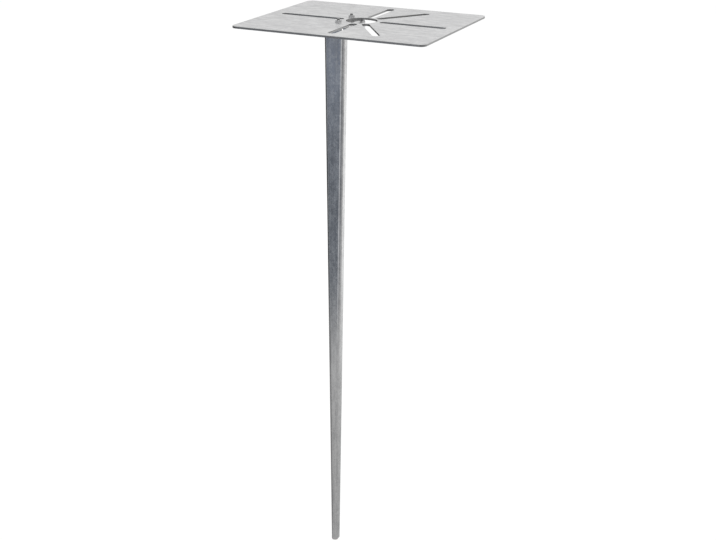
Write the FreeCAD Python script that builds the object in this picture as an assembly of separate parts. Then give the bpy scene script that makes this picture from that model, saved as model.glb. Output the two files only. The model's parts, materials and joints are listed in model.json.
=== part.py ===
import FreeCAD, Part
import math
import os

from FreeCAD import Vector

# Lengths are in millimetres. The origin is the centre of the mounting plate's top face,
# +Z points up, +X runs along the plate's long side and the spike hangs down along -Z.

# Mounting plate
plate_length = 240.0
plate_width = 200.0
plate_thickness = 2.5
plate_corner_radius = 8.0
centre_hole_radius = 18.6

# Slots of the mounting plate, measured from the centre to each rounded end; the cross slots
# lie a little to the right of the centre
slot_width = 9.0
long_slot_inner = 23.5
long_slot_outer = 106.0
cross_slot_inner = 21.0
cross_slot_outer = 87.0
cross_slot_shift = 1.1
diagonal_slot_inner = 21.0
diagonal_slot_outer = 94.0
diagonal_slot_angle = 55.0

# Bolted joint between the plate and the spike's tab
bolt_diameter = 4.0
bolt_length = 10.0
bolt_spacing = 36.0
bolt_line_x = -18.7
bolt_pair_y = -6.6
bolt_hole_play = 0.25
hex_across_flats = 7.0
bolt_head_height = 2.8
nut_height = 3.2
thread_play = 0.05
bolt_end_chamfer = 0.5
hex_chamfer_angle = 30.0

# Spike, folded from one sheet: a tapered channel whose web faces -Y, with a tab on its head
sheet_thickness = 2.5
fold_inner_radius = 1.6
spike_length = 706.5
head_width = 26.4
tip_width = 8.4
flange_height = 9.8
web_to_front_bolt = 12.2
tab_length = 59.2
mitre_gap = 0.4

# Places worked out from the dimensions above
plate_underside = -plate_thickness
tab_underside = plate_underside - sheet_thickness
tip_z = plate_underside - spike_length
bolt_places = [bolt_pair_y - bolt_spacing / 2, bolt_pair_y + bolt_spacing / 2]
bolt_hole_radius = bolt_diameter / 2 + bolt_hole_play
fold_outer_radius = fold_inner_radius + sheet_thickness
web_front_y = bolt_places[0] - web_to_front_bolt
fold_centre_y = web_front_y + fold_outer_radius
fold_centre_z = plate_underside - fold_outer_radius


def polygon_solid(corners, direction):
    """Solid swept from a closed outline of corner points along a direction."""
    wire = Part.makePolygon(corners + [corners[0]])
    return Part.Face(wire).extrude(direction)


def arc_between(centre, start, end):
    """Quarter arc about a centre, through the middle direction of its two ends."""
    outward = (start - centre) + (end - centre)
    radius = (start - centre).Length
    middle = centre + outward.normalize() * radius
    return Part.Arc(start, middle, end).toShape()


def slot_cutter(angle, inner, outer, shift=0.0):
    """Round-ended slot that leaves the centre at an angle, moved sideways, cut through the plate."""
    half = slot_width / 2
    start = Vector(inner + half, 0, 0)
    end = Vector(outer - half, 0, 0)
    side = Vector(0, half, 0)
    reach = Vector(half, 0, 0)
    edges = [
        Part.LineSegment(start + side, end + side).toShape(),
        Part.Arc(end + side, end + reach, end - side).toShape(),
        Part.LineSegment(end - side, start - side).toShape(),
        Part.Arc(start - side, start - reach, start + side).toShape(),
    ]
    cutter = Part.Face(Part.Wire(edges)).extrude(Vector(0, 0, 3 * plate_thickness))
    cutter.translate(Vector(0, 0, -2 * plate_thickness))
    cutter.rotate(Vector(0, 0, 0), Vector(0, 0, 1), angle)
    cutter.translate(Vector(shift, 0, 0))
    return cutter


def bolt_hole_cutters(top, depth):
    """Clearance holes of the two bolts, from a height downwards."""
    return [
        Part.makeCylinder(bolt_hole_radius, depth, Vector(bolt_line_x, y, top), Vector(0, 0, -1))
        for y in bolt_places
    ]


def make_mounting_plate():
    """Flat plate with a centre hole, six slots that fan out from it and two bolt holes."""
    low_corner = Vector(-plate_length / 2, -plate_width / 2, plate_underside)
    plate = Part.makeBox(plate_length, plate_width, plate_thickness, low_corner)
    upright = [e for e in plate.Edges if abs(e.tangentAt(e.FirstParameter).z) > 0.5]
    plate = plate.makeFillet(plate_corner_radius, upright)
    cut_top = plate_thickness
    cut_depth = 3 * plate_thickness
    hole_base = Vector(0, 0, cut_top)
    cutters = [Part.makeCylinder(centre_hole_radius, cut_depth, hole_base, Vector(0, 0, -1))]
    for angle in (0.0, 180.0):
        cutters.append(slot_cutter(angle, long_slot_inner, long_slot_outer))
    for angle in (90.0, 270.0):
        cutters.append(slot_cutter(angle, cross_slot_inner, cross_slot_outer, cross_slot_shift))
    for angle in (diagonal_slot_angle, -diagonal_slot_angle):
        cutters.append(slot_cutter(angle, diagonal_slot_inner, diagonal_slot_outer))
    cutters += bolt_hole_cutters(cut_top, cut_depth)
    return plate.cut(cutters)


def channel_wire(width, origin, inward):
    """Closed outline of the channel, from the middle of its web's outer face inwards."""

    def place(across, depth):
        return origin + Vector(across, 0, 0) + inward * depth

    half = width / 2
    inside = half - sheet_thickness
    flat = half - fold_outer_radius
    left_centre = place(-flat, fold_outer_radius)
    right_centre = place(flat, fold_outer_radius)
    edges = [
        Part.LineSegment(place(-flat, 0), place(flat, 0)).toShape(),
        arc_between(right_centre, place(flat, 0), place(half, fold_outer_radius)),
        Part.LineSegment(place(half, fold_outer_radius), place(half, flange_height)).toShape(),
        Part.LineSegment(place(half, flange_height), place(inside, flange_height)).toShape(),
        Part.LineSegment(place(inside, flange_height), place(inside, fold_outer_radius)).toShape(),
        arc_between(right_centre, place(inside, fold_outer_radius), place(flat, sheet_thickness)),
        Part.LineSegment(place(flat, sheet_thickness), place(-flat, sheet_thickness)).toShape(),
        arc_between(left_centre, place(-flat, sheet_thickness), place(-inside, fold_outer_radius)),
        Part.LineSegment(place(-inside, fold_outer_radius), place(-inside, flange_height)).toShape(),
        Part.LineSegment(place(-inside, flange_height), place(-half, flange_height)).toShape(),
        Part.LineSegment(place(-half, flange_height), place(-half, fold_outer_radius)).toShape(),
        arc_between(left_centre, place(-half, fold_outer_radius), place(-flat, 0)),
    ]
    return Part.Wire(edges)


def make_shaft():
    """Upright channel that narrows from the head down to its square-cut tip."""
    sections = []
    for width, z in ((head_width, fold_centre_z), (tip_width, tip_z)):
        corner = Vector(bolt_line_x, web_front_y, z)
        sections.append(channel_wire(width, corner, Vector(0, 1, 0)))
    return Part.makeLoft(sections, True, True)


def make_tab():
    """Flat tab under the plate, stiffened by a lip along each side."""
    corner = Vector(bolt_line_x, fold_centre_y, plate_underside)
    section = channel_wire(head_width, corner, Vector(0, 0, -1))
    return Part.Face(section).extrude(Vector(0, tab_length - fold_outer_radius, 0))


def make_head_fold():
    """Quarter bend that joins the web to the tab, between the bends of the flanges and lips."""
    start_x = bolt_line_x - head_width / 2 + fold_outer_radius
    centre = Vector(start_x, fold_centre_y, fold_centre_z)
    back = Vector(0, -1, 0)
    up = Vector(0, 0, 1)
    outer_low = centre + back * fold_outer_radius
    outer_high = centre + up * fold_outer_radius
    inner_high = centre + up * fold_inner_radius
    inner_low = centre + back * fold_inner_radius
    edges = [
        arc_between(centre, outer_low, outer_high),
        Part.LineSegment(outer_high, inner_high).toShape(),
        arc_between(centre, inner_high, inner_low),
        Part.LineSegment(inner_low, outer_low).toShape(),
    ]
    run = head_width - 2 * fold_outer_radius
    return Part.Face(Part.Wire(edges)).extrude(Vector(run, 0, 0))


def mitre_cutter(side, towards_tab):
    """Wedge on one side of the 45 degree line between a flange and the lip above it."""
    reach = 2 * flange_height
    half_gap = mitre_gap / math.sqrt(2)
    outer_x = bolt_line_x + side * (head_width / 2 + reach)
    inner_x = bolt_line_x + side * (head_width / 2 - fold_outer_radius)
    if towards_tab:
        corner = Vector(outer_x, fold_centre_y - half_gap, fold_centre_z)
        away = Vector(0, 0, reach)
    else:
        corner = Vector(outer_x, fold_centre_y, fold_centre_z + half_gap)
        away = Vector(0, -reach, 0)
    diagonal = Vector(0, reach, -reach)
    corners = [corner - diagonal, corner + diagonal, corner + diagonal + away, corner - diagonal + away]
    return polygon_solid(corners, Vector(inner_x - outer_x, 0, 0))


def make_spike_blade():
    """One folded sheet: tapered channel with a lipped bolting tab folded back from its head."""
    shaft = make_shaft().cut([mitre_cutter(side, True) for side in (-1, 1)])
    tab = make_tab().cut([mitre_cutter(side, False) for side in (-1, 1)])
    blade = shaft.fuse([make_head_fold(), tab]).removeSplitter()
    return blade.cut(bolt_hole_cutters(0, plate_thickness + 2 * sheet_thickness))


def hex_prism(base_z, height, chamfer_low, chamfer_high):
    """Hexagonal prism about the Z axis, its corners chamfered at either end."""
    corner_radius = hex_across_flats / math.sqrt(3)
    corners = []
    for step in range(6):
        angle = math.radians(60 * step)
        corners.append(Vector(corner_radius * math.cos(angle), corner_radius * math.sin(angle), base_z))
    prism = polygon_solid(corners, Vector(0, 0, height))
    flat_radius = hex_across_flats / 2
    drop = (corner_radius - flat_radius) * math.tan(math.radians(hex_chamfer_angle))
    low_radius = flat_radius if chamfer_low else corner_radius
    high_radius = flat_radius if chamfer_high else corner_radius
    top_z = base_z + height
    profile = [
        Vector(0, 0, base_z),
        Vector(low_radius, 0, base_z),
        Vector(corner_radius, 0, base_z + drop),
        Vector(corner_radius, 0, top_z - drop),
        Vector(high_radius, 0, top_z),
        Vector(0, 0, top_z),
    ]
    turned = Part.Face(Part.makePolygon(profile + [profile[0]]))
    turned = turned.revolve(Vector(0, 0, 0), Vector(0, 0, 1), 360)
    return prism.common(turned)


def make_bolt(y):
    """Hex-head bolt that enters from under the tab, head below and thread above the plate."""
    radius = bolt_diameter / 2 - thread_play
    head = hex_prism(tab_underside - bolt_head_height, bolt_head_height, True, False)
    tip = tab_underside + bolt_length
    profile = [
        Vector(0, 0, tab_underside - bolt_head_height / 2),
        Vector(radius, 0, tab_underside - bolt_head_height / 2),
        Vector(radius, 0, tip - bolt_end_chamfer),
        Vector(radius - bolt_end_chamfer, 0, tip),
        Vector(0, 0, tip),
    ]
    shank = Part.Face(Part.makePolygon(profile + [profile[0]]))
    shank = shank.revolve(Vector(0, 0, 0), Vector(0, 0, 1), 360)
    bolt = head.fuse(shank).removeSplitter()
    bolt.translate(Vector(bolt_line_x, y, 0))
    return bolt


def make_nut(y):
    """Hex nut that clamps on the plate's top face."""
    body = hex_prism(0, nut_height, True, True)
    bore = Part.makeCylinder(bolt_diameter / 2, nut_height, Vector(0, 0, 0), Vector(0, 0, 1))
    nut = body.cut(bore)
    nut.translate(Vector(bolt_line_x, y, 0))
    return nut


def main():
    os.makedirs("parts", exist_ok=True)
    pieces = {
        "mounting_plate": make_mounting_plate(),
        "spike_blade": make_spike_blade(),
    }
    for name, y in zip(("front", "rear"), bolt_places):
        pieces["bolt_" + name] = make_bolt(y)
        pieces["nut_" + name] = make_nut(y)
    for node, shape in pieces.items():
        shape.exportStep("parts/" + node + ".step")
        print(node, "solids", len(shape.Solids), "volume", round(shape.Volume, 1), "valid", shape.isValid())


main()
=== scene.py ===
import json
import math
import bpy
from mathutils import Matrix, Vector

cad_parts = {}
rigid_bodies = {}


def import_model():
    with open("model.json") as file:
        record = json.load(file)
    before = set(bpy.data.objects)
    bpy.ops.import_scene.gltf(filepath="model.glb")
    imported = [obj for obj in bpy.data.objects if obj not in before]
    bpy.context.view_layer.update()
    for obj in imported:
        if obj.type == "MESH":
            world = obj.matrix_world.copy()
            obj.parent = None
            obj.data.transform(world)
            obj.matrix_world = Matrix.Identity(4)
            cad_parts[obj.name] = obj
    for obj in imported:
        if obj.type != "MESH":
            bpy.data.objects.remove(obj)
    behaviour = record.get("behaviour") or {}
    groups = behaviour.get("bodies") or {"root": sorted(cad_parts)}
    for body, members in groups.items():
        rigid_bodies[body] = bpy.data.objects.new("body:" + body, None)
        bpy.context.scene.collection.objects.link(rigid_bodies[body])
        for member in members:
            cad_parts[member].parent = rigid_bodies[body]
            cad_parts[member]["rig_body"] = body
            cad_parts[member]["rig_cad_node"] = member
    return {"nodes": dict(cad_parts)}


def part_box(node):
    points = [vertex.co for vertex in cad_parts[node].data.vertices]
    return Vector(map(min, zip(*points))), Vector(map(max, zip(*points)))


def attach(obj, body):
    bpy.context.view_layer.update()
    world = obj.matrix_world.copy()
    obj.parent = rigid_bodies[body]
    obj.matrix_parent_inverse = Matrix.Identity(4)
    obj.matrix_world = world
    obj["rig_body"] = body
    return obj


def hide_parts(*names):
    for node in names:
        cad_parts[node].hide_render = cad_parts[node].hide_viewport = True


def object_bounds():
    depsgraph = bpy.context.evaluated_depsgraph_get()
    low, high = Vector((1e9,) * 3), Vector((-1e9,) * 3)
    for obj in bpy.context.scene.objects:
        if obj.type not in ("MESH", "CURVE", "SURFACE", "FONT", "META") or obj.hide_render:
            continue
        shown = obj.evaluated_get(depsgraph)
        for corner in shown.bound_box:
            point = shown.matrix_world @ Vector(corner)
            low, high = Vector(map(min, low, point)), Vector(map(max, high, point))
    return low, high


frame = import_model()
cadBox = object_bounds()
scene = bpy.context.scene
mm = 0.001
print("frame loaded:", sorted(frame["nodes"]))

# Camera, solved from the plate's corners in the photograph
cameraView = {
    "place": (0.5865, -1.2693, 0.2544),
    "azimuth": 24.88,  # degrees the view turns from +Y towards -X
    "elevation": 22.22,  # degrees it looks down
    "roll": 0.481,
    "lens": 59.48,
    "sensorWidth": 36,
    "reach": 60,
}


def makeCamera(view):
    bpy.ops.object.camera_add(location=view["place"])
    camera = bpy.context.object
    camera.name = "photoCamera"
    turn = Matrix.Rotation(math.radians(view["azimuth"]), 4, "Z")
    tilt = Matrix.Rotation(math.radians(90 - view["elevation"]), 4, "X")
    roll = Matrix.Rotation(math.radians(view["roll"]), 4, "Z")
    camera.rotation_euler = (turn @ tilt @ roll).to_euler()
    camera.data.lens = view["lens"]
    camera.data.sensor_width = view["sensorWidth"]
    camera.data.clip_end = view["reach"]
    scene.camera = camera


makeCamera(cameraView)
scene.view_settings.view_transform = "Standard"
print("camera set")


# Shader helpers: a socket that takes part in sums, and one way to add a node
class Value:
    def __init__(self, tree, socket):
        self.tree = tree
        self.socket = socket

    def maths(self, operation, *others, clamp=False):
        node = self.tree.nodes.new("ShaderNodeMath")
        node.operation = operation
        node.use_clamp = clamp
        for slot, item in enumerate((self,) + others):
            if isinstance(item, Value):
                self.tree.links.new(item.socket, node.inputs[slot])
            else:
                node.inputs[slot].default_value = item
        return Value(self.tree, node.outputs[0])

    def number(self, value):
        node = self.tree.nodes.new("ShaderNodeValue")
        node.outputs[0].default_value = value
        return Value(self.tree, node.outputs[0])

    def __add__(self, other):
        return self.maths("ADD", other)

    def __radd__(self, other):
        return self.maths("ADD", other)

    def __sub__(self, other):
        return self.maths("SUBTRACT", other)

    def __rsub__(self, other):
        return self.number(other).maths("SUBTRACT", self)

    def __mul__(self, other):
        return self.maths("MULTIPLY", other)

    def __rmul__(self, other):
        return self.maths("MULTIPLY", other)

    def __truediv__(self, other):
        return self.maths("DIVIDE", other)

    def __rtruediv__(self, other):
        return self.number(other).maths("DIVIDE", self)

    def __neg__(self):
        return self.maths("MULTIPLY", -1.0)

    def __abs__(self):
        return self.maths("ABSOLUTE")

    def clamped(self):
        return self.maths("ADD", 0.0, clamp=True)

    def smoothStep(self, low, high):
        node = self.tree.nodes.new("ShaderNodeMapRange")
        node.interpolation_type = "SMOOTHSTEP"
        self.tree.links.new(self.socket, node.inputs["Value"])
        node.inputs["From Min"].default_value = low
        node.inputs["From Max"].default_value = high
        return Value(self.tree, node.outputs["Result"])


class NodeBench:
    def __init__(self, tree):
        self.tree = tree
        tree.nodes.clear()

    def add(self, kind, settings=None, inputs=None, out=0):
        node = self.tree.nodes.new("ShaderNode" + kind)
        for name, setting in (settings or {}).items():
            if name == "stops":
                ramp = node.color_ramp
                while len(ramp.elements) < len(setting):
                    ramp.elements.new(0.5)
                for element, (place, colour) in zip(ramp.elements, setting):
                    element.position = place
                    element.color = (*colour, 1.0)
            elif name == "easing":
                node.color_ramp.interpolation = setting
            else:
                setattr(node, name, setting)
        for name, item in (inputs or {}).items():
            socket = node.inputs[name]
            if isinstance(item, Value):
                self.tree.links.new(item.socket, socket)
            else:
                socket.default_value = item
        if node.outputs:
            return Value(self.tree, node.outputs[out])

    def split(self, vector):
        node = self.add("SeparateXYZ", None, {"Vector": vector}).socket.node
        return [Value(self.tree, node.outputs[i]) for i in range(3)]

    def mixColour(self, factor, first, second):
        inputs = {0: factor, 6: first, 7: second}
        return self.add("Mix", {"data_type": "RGBA"}, inputs, out=2)

    def mixShader(self, factor, first, second):
        return self.add("MixShader", None, {0: factor, 1: first, 2: second})


def newMaterial(name):
    material = bpy.data.materials.new(name)
    material.use_nodes = True
    return material, NodeBench(material.node_tree)


def objectCoords(bench):
    return bench.add("TexCoord", out="Object")


# Studio: a white sweep behind, a darker room in front and one wide lamp above. The rings give
# the brightness that the metal reflects by compass angle: 0 is behind, 0.25 on the left, 0.5
# straight ahead of the web and 0.75 on the right.
studio = {
    "floorLevel": cadBox[0].z - 0.6 * mm,
    "floorHalf": 8.0,
    "paper": (0.12, 0.12, 0.12),
    "paperGlow": 0.93,
    "lampPlace": (0.3, 0.4, 2.6),
    "lampSize": 2.4,
    "lampPower": 30,
    "litPaper": (0.82, 0.82, 0.82),
    "ceiling": (0.80, 0.80, 0.80),
    "ceilingRise": (0.45, 0.8),  # heights of the sky between which the room gives way to the ceiling
    "roomRing": [
        (0.000, (0.90, 0.90, 0.90)),
        (0.110, (0.92, 0.92, 0.92)),
        (0.170, (0.50, 0.505, 0.51)),
        (0.380, (0.45, 0.455, 0.46)),
        (0.430, (0.52, 0.53, 0.545)),
        (0.485, (0.66, 0.665, 0.675)),
        (0.535, (0.62, 0.625, 0.635)),
        (0.580, (0.50, 0.505, 0.51)),
        (0.780, (0.58, 0.58, 0.585)),
        (0.860, (0.90, 0.90, 0.90)),
    ],
    # Floor rings with the distances between which each takes over from the one before
    "floorRings": [
        ((-1.0, 0.0), [
            (0.000, (0.60, 0.60, 0.60)),
            (0.070, (0.30, 0.30, 0.30)),
            (0.380, (0.30, 0.30, 0.30)),
            (0.420, (0.54, 0.54, 0.54)),
            (0.560, (0.54, 0.54, 0.54)),
            (0.860, (0.58, 0.58, 0.58)),
        ]),
        ((0.40, 0.52), [
            (0.000, (0.60, 0.60, 0.60)),
            (0.070, (0.30, 0.30, 0.30)),
            (0.380, (0.32, 0.32, 0.32)),
            (0.420, (0.63, 0.63, 0.63)),
            (0.560, (0.64, 0.64, 0.64)),
            (0.860, (0.80, 0.80, 0.80)),
        ]),
        ((0.60, 0.96), [
            (0.000, (1.00, 1.00, 1.00)),
            (0.030, (0.50, 0.50, 0.50)),
            (0.060, (0.05, 0.055, 0.06)),
            (0.340, (0.05, 0.055, 0.06)),
            (0.375, (0.400, 0.420, 0.440)),
            (0.398, (0.340, 0.360, 0.380)),
            (0.415, (0.175, 0.195, 0.228)),
            (0.446, (0.184, 0.205, 0.240)),
            (0.458, (0.62, 0.64, 0.67)),
            (0.490, (0.76, 0.77, 0.80)),
            (0.520, (0.57, 0.58, 0.61)),
            (0.540, (0.26, 0.27, 0.29)),
            (0.620, (0.27, 0.28, 0.30)),
            (0.700, (0.42, 0.43, 0.44)),
            (0.775, (0.50, 0.50, 0.51)),
            (0.880, (0.56, 0.56, 0.56)),
            (0.915, (1.12, 1.12, 1.12)),
        ]),
        ((2.55, 2.85), [
            (0.000, (1.00, 1.00, 1.00)),
            (0.030, (0.50, 0.50, 0.50)),
            (0.060, (0.03, 0.032, 0.035)),
            (0.350, (0.03, 0.032, 0.035)),
            (0.380, (0.500, 0.550, 0.620)),
            (0.400, (0.450, 0.500, 0.580)),
            (0.418, (0.370, 0.440, 0.580)),
            (0.445, (0.380, 0.450, 0.590)),
            (0.458, (0.62, 0.65, 0.69)),
            (0.490, (0.80, 0.82, 0.85)),
            (0.525, (0.62, 0.63, 0.65)),
            (0.560, (0.27, 0.28, 0.29)),
            (0.620, (0.29, 0.30, 0.31)),
            (0.700, (0.42, 0.42, 0.43)),
            (0.775, (0.52, 0.52, 0.52)),
            (0.880, (0.60, 0.60, 0.60)),
            (0.915, (1.00, 1.00, 1.00)),
        ]),
        ((3.5, 3.75), [
            (0.000, (0.95, 0.95, 0.95)),
            (0.060, (0.20, 0.20, 0.20)),
            (0.385, (0.12, 0.12, 0.12)),
            (0.415, (0.18, 0.18, 0.18)),
            (0.445, (0.19, 0.19, 0.19)),
            (0.458, (0.45, 0.45, 0.45)),
            (0.525, (0.48, 0.48, 0.48)),
            (0.560, (0.27, 0.27, 0.27)),
            (0.700, (0.30, 0.30, 0.30)),
            (0.770, (0.50, 0.50, 0.50)),
            (0.800, (0.95, 0.95, 0.95)),
            (0.890, (0.95, 0.95, 0.95)),
        ]),
    ],
}


def compassRing(bench, x, y, stops):
    compass = x.maths("ARCTAN2", -y) / (2 * math.pi) + 0.5
    return bench.add("ValToRGB", {"stops": stops, "easing": "EASE"}, {"Fac": compass})


# 1 where the camera sees a surface by itself or through something clear
def seenDirectly(bench):
    seen = bench.add("LightPath", out="Is Camera Ray")
    through = bench.add("LightPath", out="Is Transmission Ray")
    return seen.maths("MAXIMUM", through)


def makeRoom(settings):
    world = bpy.data.worlds.new("studioRoom")
    scene.world = world
    world.use_nodes = True
    bench = NodeBench(world.node_tree)
    x, y, z = bench.split(bench.add("TexCoord"))
    room = compassRing(bench, x, y, settings["roomRing"])
    rise = z.smoothStep(*settings["ceilingRise"])
    light = bench.mixColour(rise, room, (*settings["ceiling"], 1))
    colour = bench.mixColour(seenDirectly(bench), light, (1, 1, 1, 1))
    background = bench.add("Background", None, {"Color": colour, "Strength": 1.0})
    bench.add("OutputWorld", None, {"Surface": background})


def makeFloor(settings):
    floorPlace = (0, 0, settings["floorLevel"])
    bpy.ops.mesh.primitive_plane_add(size=2 * settings["floorHalf"], location=floorPlace)
    floor = bpy.context.object
    floor.name = "studioFloor"
    bpy.ops.object.transform_apply(location=True)
    material, bench = newMaterial("floorPaper")
    x, y, _ = bench.split(objectCoords(bench))
    reach = (x * x + y * y).maths("SQRT")
    shine = (0, 0, 0, 1)
    for distances, stops in settings["floorRings"]:
        ring = compassRing(bench, x, y, stops)
        shine = bench.mixColour(reach.smoothStep(*distances), shine, ring)
    litPaper = bench.add("BsdfDiffuse", None, {"Color": (*settings["litPaper"], 1)})
    seenPaper = bench.add("BsdfDiffuse", None, {"Color": (*settings["paper"], 1)})
    white = bench.add("Emission", None, {"Color": (1, 1, 1, 1), "Strength": settings["paperGlow"]})
    bright = bench.add("AddShader", None, {0: seenPaper, 1: white})
    lit = bench.mixShader(seenDirectly(bench), litPaper, bright)
    mirrored = bench.add("LightPath", out="Is Glossy Ray")
    glow = bench.add("Emission", None, {"Color": shine, "Strength": 1.0})
    surface = bench.mixShader(mirrored, lit, glow)
    bench.add("OutputMaterial", None, {"Surface": surface})
    floor.data.materials.append(material)


def makeLamp(settings):
    bpy.ops.object.light_add(type="AREA", location=settings["lampPlace"])
    lamp = bpy.context.object
    lamp.name = "softLamp"
    lamp.data.size = settings["lampSize"]
    lamp.data.energy = settings["lampPower"]
    lamp.rotation_euler = Vector(settings["lampPlace"]).to_track_quat("Z", "Y").to_euler()


makeRoom(studio)
makeFloor(studio)
makeLamp(studio)
print("studio built")


# Across the blade, the pattern narrows with it, so that drag marks run along its edges
def taperedCoords(bench):
    x, y, z = bench.split(objectCoords(bench))
    share = (z - blade["tipHeight"]) / (blade["headHeight"] - blade["tipHeight"])
    width = share * (1 - blade["tipShare"]) + blade["tipShare"]
    across = (x - blade["centre"]) / width
    return bench.add("CombineXYZ", None, {"X": across, "Y": y, "Z": z})


def stretchedNoise(bench, coords, scale, detail, roughness):
    mapped = bench.add("Mapping", None, {"Vector": coords, "Scale": scale})
    inputs = {"Vector": mapped, "Scale": 1.0, "Detail": detail, "Roughness": roughness}
    return bench.add("TexNoise", None, inputs)


def metalShader(bench, colour, rough, bump):
    inputs = {"Base Color": colour, "Metallic": 1.0, "Roughness": rough, "Normal": bump}
    shader = bench.add("BsdfPrincipled", None, inputs)
    bench.add("OutputMaterial", None, {"Surface": shader})


# How far each pattern of a zinc face sways its roughness, and its relief
zincRelief = {
    "brushSway": 0.12,
    "cloudSway": 0.10,
    "spangleSway": 0.05,
    "scratchSway": 0.08,
    "scratchDepth": 0.3,
    "scratchGate": (0.55, 0.7),
    "reliefDepth": 0.12 * mm,
}


def zincFace(name, look, coordsMaker=objectCoords, markAndPaintedGlare=None):
    material, bench = newMaterial(name)
    coords = coordsMaker(bench)
    clouds = stretchedNoise(bench, coords, look["cloudScale"], detail=4.0, roughness=0.55)
    brush = stretchedNoise(bench, coords, look["brushScale"], detail=2.0, roughness=0.6)
    rub = stretchedNoise(bench, coords, look["rubScale"], detail=3.0, roughness=0.55)
    cellInputs = {"Vector": coords, "Scale": look["spangleScale"], "Randomness": 1.0}
    cells = bench.add("TexVoronoi", {"feature": "F1"}, cellInputs, out="Color")
    spangle = bench.add("SeparateColor", None, {"Color": cells})
    lines = abs(stretchedNoise(bench, coords, look["scratchScale"], detail=2.0, roughness=0.4) - 0.5)
    gate = stretchedNoise(bench, coords, look["scratchGate"], detail=2.0, roughness=0.5)
    gate = gate.smoothStep(*zincRelief["scratchGate"])
    scratches = (1 - lines.smoothStep(0.0, look["scratchWidth"])) * gate
    tone = (clouds - 0.5) * look["cloudDepth"] + (brush - 0.5) * look["brushDepth"]
    tone = tone + (spangle - 0.5) * look["spangleDepth"] + (rub - 0.5) * look["rubDepth"]
    tone = tone + scratches * look["scratchTone"]
    # The extra tone is a real drag mark on the blade and a painted highlight on the plate
    if markAndPaintedGlare:
        tone = tone + markAndPaintedGlare(bench, coords)
    factor = (tone + 0.5).clamped()
    colour = bench.mixColour(factor, (*look["dark"], 1), (*look["light"], 1))
    rough = (brush - 0.5) * zincRelief["brushSway"] + (clouds - 0.5) * zincRelief["cloudSway"]
    rough = rough + (spangle - 0.5) * zincRelief["spangleSway"]
    rough = (rough - scratches * zincRelief["scratchSway"] + look["roughness"]).clamped()
    height = brush * look["brushHeight"] + clouds * look["cloudHeight"]
    height = height - scratches * zincRelief["scratchDepth"] + spangle * look["spangleHeight"]
    relief = {"Height": height, "Strength": look["bump"], "Distance": zincRelief["reliefDepth"]}
    metalShader(bench, colour, rough, bench.add("Bump", None, relief))
    return material


shearRelief = {"toneDepth": 0.8, "grainSway": 0.2, "reliefDepth": 0.15 * mm}


def shearedEdge(name, look):
    material, bench = newMaterial(name)
    coords = objectCoords(bench)
    grain = stretchedNoise(bench, coords, look["grainScale"], detail=3.0, roughness=0.6)
    patches = stretchedNoise(bench, coords, look["patchScale"], detail=3.0, roughness=0.5)
    tone = (grain - 0.5) * shearRelief["toneDepth"] + (patches - 0.5) * shearRelief["toneDepth"]
    factor = (tone + 0.5).clamped()
    colour = bench.mixColour(factor, (*look["dark"], 1), (*look["light"], 1))
    rough = ((grain - 0.5) * shearRelief["grainSway"] + look["roughness"]).clamped()
    relief = {"Height": grain, "Strength": look["bump"], "Distance": shearRelief["reliefDepth"]}
    metalShader(bench, colour, rough, bench.add("Bump", None, relief))
    return material


# Modelling helpers
meshWork = {
    "mergeDistance": 1e-6,
    "flatAngle": 0.5,  # degrees under which neighbouring triangles become one face
    "edgeAngle": 40,  # and over which an edge is eased
    "edgeSteps": 2,
    "smoothAngle": 35,
}


def pickOnly(piece):
    bpy.ops.object.select_all(action="DESELECT")
    piece.select_set(True)
    bpy.context.view_layer.objects.active = piece


def smoothFaces(piece):
    pickOnly(piece)
    bpy.ops.object.shade_smooth_by_angle(angle=math.radians(meshWork["smoothAngle"]))
    weighted = piece.modifiers.new("flatFaces", "WEIGHTED_NORMAL")
    weighted.keep_sharp = True
    bpy.ops.object.modifier_apply(modifier="flatFaces")
    bpy.ops.object.select_all(action="DESELECT")


def dressedCopy(node, pieceName, edgeWidth):
    source = frame["nodes"][node]
    piece = source.copy()
    piece.data = source.data.copy()
    # The solid's own marks come off, and settle gives the copy its own
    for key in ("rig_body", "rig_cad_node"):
        if key in piece:
            del piece[key]
    piece.name = pieceName
    piece.data.name = pieceName
    piece.parent = None
    scene.collection.objects.link(piece)
    pickOnly(piece)
    bpy.ops.object.mode_set(mode="EDIT")
    bpy.ops.mesh.select_all(action="SELECT")
    bpy.ops.mesh.remove_doubles(threshold=meshWork["mergeDistance"])
    bpy.ops.mesh.dissolve_limited(angle_limit=math.radians(meshWork["flatAngle"]))
    bpy.ops.mesh.customdata_custom_splitnormals_clear()
    bpy.ops.object.mode_set(mode="OBJECT")
    bevel = piece.modifiers.new("easedEdges", "BEVEL")
    bevel.width = edgeWidth
    bevel.segments = meshWork["edgeSteps"]
    bevel.limit_method = "ANGLE"
    bevel.angle_limit = math.radians(meshWork["edgeAngle"])
    bpy.ops.object.modifier_apply(modifier="easedEdges")
    smoothFaces(piece)
    return piece


def paintFaces(piece, materials, chooser=lambda face: 0):
    piece.data.materials.clear()
    for material in materials:
        piece.data.materials.append(material)
    for face in piece.data.polygons:
        face.material_index = chooser(face)


def settle(piece, node):
    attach(piece, "root")
    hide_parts(node)
    print(piece.name, "ready,", len(piece.data.polygons), "faces")
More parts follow.
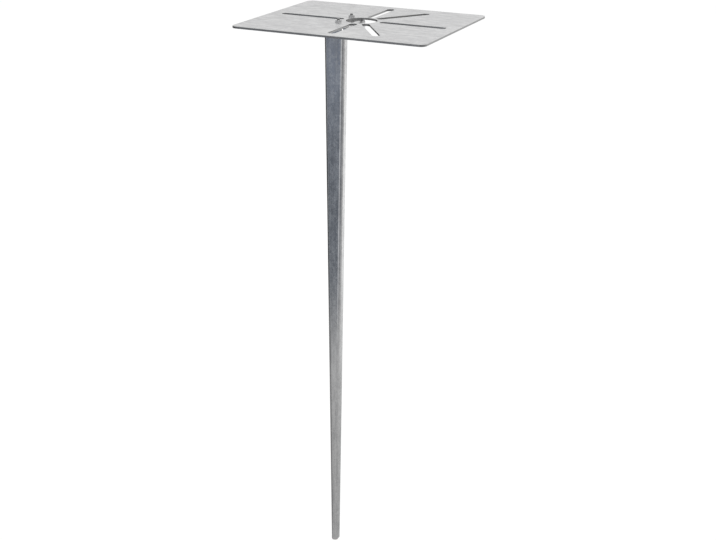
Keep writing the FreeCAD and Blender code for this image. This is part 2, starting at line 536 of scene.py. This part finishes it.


# Mounting plate: brushed zinc faces with a painted highlight before the centre hole, sheared steel
# walls and rubbed corners between them
plate = {
    "edge": 0.22 * mm,
    "levelFrom": 0.98,  # upright part of a face's normal from which it counts as level
    "wallBelow": 0.05,  # and under which it counts as a wall
    "zinc": {
        "light": (0.69, 0.69, 0.69),
        "dark": (0.53, 0.53, 0.535),
        "roughness": 0.47,
        "cloudScale": (14, 22, 14),
        "cloudDepth": 0.6,
        "brushScale": (60, 420, 420),
        "brushDepth": 1.8,
        "rubScale": (48, 160, 160),
        "rubDepth": 2.2,
        "spangleScale": 300,
        "spangleDepth": 0.45,
        "spangleHeight": 0.04,
        "scratchScale": (6, 70, 70),
        "scratchGate": (25, 25, 25),
        "scratchWidth": 0.012,
        "scratchTone": 0.25,
        "brushHeight": 0.5,
        "cloudHeight": 0.5,
        "bump": 0.35,
    },
    # Painted highlight: a soft, lighter patch in the plate's zinc colour before the centre hole
    "paintedGlare": {
        "centre": (5 * mm, -80 * mm),
        "halfSize": (38 * mm, 30 * mm),
        "core": 0.2,
        "tone": 0.5,
    },
    "wall": {
        "light": (0.42, 0.42, 0.42),
        "dark": (0.29, 0.29, 0.29),
        "roughness": 0.36,
        "grainScale": (900, 900, 200),
        "patchScale": (60, 60, 60),
        "bump": 0.35,
    },
    "corner": {
        "light": (0.74, 0.74, 0.74),
        "dark": (0.58, 0.58, 0.58),
        "roughness": 0.30,
        "grainScale": (300, 300, 300),
        "patchScale": (40, 40, 40),
        "bump": 0.15,
    },
}


# The front of the plate, before the centre hole, gets a painted highlight: a soft patch of lighter
# colour that stands in for glare there
def paintedGlarePatch(bench, coords):
    patch = plate["paintedGlare"]
    x, y, _ = bench.split(coords)
    across = (x - patch["centre"][0]) / patch["halfSize"][0]
    along = (y - patch["centre"][1]) / patch["halfSize"][1]
    away = (across * across + along * along).maths("SQRT")
    return (1 - away.smoothStep(patch["core"], 1.0)) * patch["tone"]


# The plate's zinc carries the painted highlight before the centre hole
plateZinc = zincFace("plateZinc", plate["zinc"], objectCoords, paintedGlarePatch)
wallSteel = shearedEdge("wallSteel", plate["wall"])
rubbedCorner = shearedEdge("rubbedCorner", plate["corner"])


# 0 is a level face, 1 a sheared wall and 2 the rubbed corner between them
def plateFaceKind(face):
    steepness = abs(face.normal.z)
    if steepness > plate["levelFrom"]:
        return 0
    return 1 if steepness < plate["wallBelow"] else 2


plateSheet = dressedCopy("mounting_plate", "plateSheet", plate["edge"])
paintFaces(plateSheet, [plateZinc, wallSteel, rubbedCorner], plateFaceKind)
settle(plateSheet, "mounting_plate")

# Blade: one folded sheet, mottled zinc with marks along its length and sheared edges
bladeLow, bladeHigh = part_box("spike_blade")
blade = {
    "edge": 0.25 * mm,
    "centre": (bladeLow.x + bladeHigh.x) / 2,
    "headHeight": bladeHigh.z,
    "tipHeight": bladeLow.z,
    "tipShare": 8.4 / 26.4,  # width of the tip as a share of the head's
    "flangeRear": bladeLow.y + 9.8 * mm,
    "lipLow": bladeHigh.z - 9.8 * mm,
    "slack": 0.30 * mm,  # how close to an end a face counts as part of its sheared edge
    "leaning": 0.1,
    "squareFrom": 0.98,
    "zinc": {
        "light": (0.71, 0.71, 0.71),
        "dark": (0.51, 0.51, 0.515),
        "roughness": 0.22,
        "cloudScale": (120, 120, 50),
        "cloudDepth": 2.2,
        "brushScale": (500, 500, 10),
        "brushDepth": 1.2,
        "rubScale": (190, 190, 9),
        "rubDepth": 1.5,
        "spangleScale": 380,
        "spangleDepth": 0.6,
        "spangleHeight": 0.05,
        "scratchScale": (150, 150, 6),
        "scratchGate": (50, 50, 14),
        "scratchWidth": 0.014,
        "scratchTone": 0.5,
        "brushHeight": 0.12,
        "cloudHeight": 0.9,
        "bump": 0.25,
    },
    "dragMark": {
        "across": -9.7 * mm,
        "halfWidth": 0.9 * mm,
        "core": 0.3,
        "low": -315 * mm,
        "high": -215 * mm,
        "fade": 12 * mm,
        "tone": 0.8,
    },
}


# One thin drag mark beside the web's left edge
def dragMark(bench, coords):
    mark = blade["dragMark"]
    x, _, z = bench.split(coords)
    offset = abs(x - mark["across"]) / mark["halfWidth"]
    line = 1 - offset.smoothStep(mark["core"], 1.0)
    below = z.smoothStep(mark["low"] - mark["fade"], mark["low"])
    above = 1 - z.smoothStep(mark["high"], mark["high"] + mark["fade"])
    return line * below * above * mark["tone"]


bladeZinc = zincFace("bladeZinc", blade["zinc"], taperedCoords, dragMark)


# 0 is a zinc face, 1 a sheared edge and 2 the rubbed corner beside it
def bladeFaceKind(face):
    normal, centre, slack = face.normal, face.center, blade["slack"]
    behindFlange = centre.y > blade["flangeRear"] - slack and centre.z < blade["lipLow"]
    flangeEdge = behindFlange and abs(normal.y) > blade["leaning"]
    underLip = centre.z < blade["lipLow"] + slack and centre.y > blade["flangeRear"]
    lipEdge = underLip and normal.z < -blade["leaning"]
    tipEdge = centre.z < blade["tipHeight"] + slack
    tabEnd = centre.y > bladeHigh.y - slack
    if not (flangeEdge or lipEdge or tipEdge or tabEnd):
        return 0
    return 1 if max(abs(normal.y), abs(normal.z)) > blade["squareFrom"] else 2


bladeSheet = dressedCopy("spike_blade", "bladeSheet", blade["edge"])
paintFaces(bladeSheet, [bladeZinc, wallSteel, rubbedCorner], bladeFaceKind)
settle(bladeSheet, "spike_blade")

# Bolts and nuts: rolled thread on the bolts, eased corners on both
fastener = {
    "edge": 0.10 * mm,
    "pitch": 0.7 * mm,
    "threadRoot": 1.52 * mm,
    "threadTop": 2.02 * mm,
    "rootFlat": 0.09 * mm,
    "flankAngle": 30,
    "threadStart": 3.4 * mm,  # above the bolt's lowest point, inside the tab's hole
    "stepsPerTurn": 32,
    "mergeDistance": 1e-7,
    "boltTones": {"light": (0.36, 0.36, 0.36), "dark": (0.15, 0.15, 0.155)},
    "nutTones": {"light": (0.82, 0.82, 0.82), "dark": (0.58, 0.58, 0.585)},
    "zinc": {
        "roughness": 0.27,
        "cloudScale": (300, 300, 300),
        "cloudDepth": 1.2,
        "brushScale": (900, 900, 900),
        "brushDepth": 0.3,
        "rubScale": (120, 120, 400),
        "rubDepth": 0.9,
        "spangleScale": 900,
        "spangleDepth": 0.2,
        "spangleHeight": 0.05,
        "scratchScale": (200, 200, 500),
        "scratchGate": (300, 300, 300),
        "scratchWidth": 0.02,
        "scratchTone": 0.3,
        "brushHeight": 0.3,
        "cloudHeight": 0.6,
        "bump": 0.3,
    },
}
boltZinc = zincFace("boltZinc", {**fastener["zinc"], **fastener["boltTones"]})
nutZinc = zincFace("nutZinc", {**fastener["zinc"], **fastener["nutTones"]})


# A wedge wound up the bolt's axis, which cuts the thread out of the shank
def makeThreadCutter(centre, low, high):
    root, rootFlat = fastener["threadRoot"], fastener["rootFlat"]
    depth = fastener["threadTop"] - root
    turns = math.ceil((high - low) / fastener["pitch"]) + 1
    bpy.ops.object.select_all(action="DESELECT")
    bpy.ops.mesh.primitive_plane_add(
        size=1,
        location=(root + depth / 2, 0, low),
        rotation=(math.pi / 2, 0, 0),
    )
    cutter = bpy.context.object
    cutter.scale = (depth, rootFlat, 1)
    bpy.ops.object.transform_apply(location=True, rotation=True, scale=True)
    topFlat = rootFlat + 2 * depth * math.tan(math.radians(fastener["flankAngle"]))
    for vertex in cutter.data.vertices:
        vertex.select = vertex.co.x > root + depth / 2
    bpy.ops.object.mode_set(mode="EDIT")
    bpy.ops.mesh.select_mode(type="VERT")
    bpy.ops.transform.resize(value=(1, 1, topFlat / rootFlat))
    bpy.ops.object.mode_set(mode="OBJECT")
    screw = cutter.modifiers.new("winding", "SCREW")
    screw.axis = "Z"
    screw.steps = fastener["stepsPerTurn"]
    screw.render_steps = fastener["stepsPerTurn"]
    screw.iterations = turns
    screw.screw_offset = fastener["pitch"]
    bpy.ops.object.modifier_apply(modifier="winding")
    bpy.ops.object.mode_set(mode="EDIT")
    bpy.ops.mesh.select_all(action="SELECT")
    bpy.ops.mesh.remove_doubles(threshold=fastener["mergeDistance"])
    bpy.ops.mesh.fill_holes(sides=4)
    bpy.ops.mesh.normals_make_consistent(inside=False)
    bpy.ops.object.mode_set(mode="OBJECT")
    cutter.location = (centre.x, centre.y, 0)
    bpy.ops.object.transform_apply(location=True)
    return cutter


def makeBolt(node, pieceName):
    low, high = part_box(node)
    bolt = dressedCopy(node, pieceName, fastener["edge"])
    cutter = makeThreadCutter((low + high) / 2, low.z + fastener["threadStart"], high.z)
    pickOnly(bolt)
    groove = bolt.modifiers.new("thread", "BOOLEAN")
    groove.operation = "DIFFERENCE"
    groove.solver = "EXACT"
    groove.object = cutter
    bpy.ops.object.modifier_apply(modifier="thread")
    bpy.data.objects.remove(cutter)
    smoothFaces(bolt)
    paintFaces(bolt, [boltZinc])
    settle(bolt, node)


def makeNut(node, pieceName):
    nut = dressedCopy(node, pieceName, fastener["edge"])
    paintFaces(nut, [nutZinc])
    settle(nut, node)


for place in ("front", "rear"):
    makeBolt("bolt_" + place, "bolt" + place.capitalize())
    makeNut("nut_" + place, "nut" + place.capitalize())
